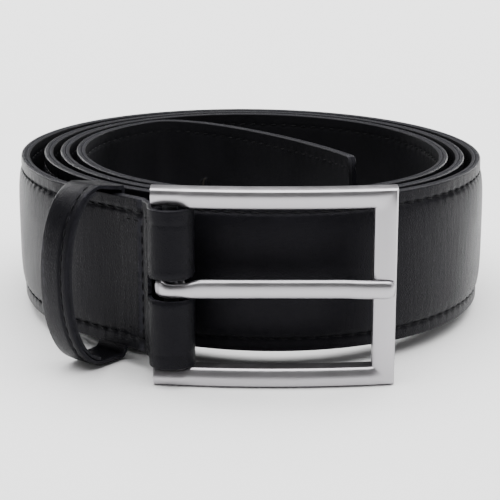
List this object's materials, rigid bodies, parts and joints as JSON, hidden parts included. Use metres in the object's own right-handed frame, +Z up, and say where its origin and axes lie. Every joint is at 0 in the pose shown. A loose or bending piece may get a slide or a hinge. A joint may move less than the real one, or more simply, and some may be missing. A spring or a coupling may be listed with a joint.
{
  "type": "leather belt",
  "caption": "Black leather dress belt with a rectangular satin metal prong buckle and a stitched keeper loop, coiled up and standing on its edge.",
  "frame": {"origin": "centre of the bounding box's base, on the surface the coiled belt stands on", "axes": "+Z up, along the coil's axis but for a lean of 2.1 degrees; -Y towards the viewer, where the buckle is; +X to the right, from the buckle's bar to its far end"},
  "size_m": [0.116, 0.1304, 0.0436],
  "materials": {
    "black_leather": "semi-gloss, fine grain, waxed",
    "lining_leather": "matt to satin, smooth split leather",
    "filler_board": "matt fibre",
    "black_thread": "matt waxed polyester",
    "satin_metal": "satin plated, fine brushed"
  },
  "bodies": {
    "strap": {"strap_top_leather": "black_leather", "strap_filler": "filler_board", "strap_lining": "lining_leather", "edge_thread_lower": "black_thread", "edge_thread_upper": "black_thread", "fold_thread": "black_thread", "keeper_outer": "black_leather", "keeper_lining": "lining_leather", "keeper_thread": "black_thread"},
    "buckle": {"buckle_frame": "satin_metal", "buckle_bar": "satin_metal"},
    "prong": {"prong": "satin_metal"}
  },
  "joints": [
    {"name": "buckle_hinge", "type": "hinge", "parent": "strap", "child": "buckle", "pos_m": [-0.01673, -0.05948, 0.02176], "axis": [0, 0.0363, 0.9993], "range_deg": [-35, 8]},
    {"name": "prong_hinge", "type": "hinge", "parent": "buckle", "child": "prong", "pos_m": [-0.01673, -0.05948, 0.02176], "axis": [0, 0.0363, 0.9993], "range_deg": [-75, 0]}
  ]
}
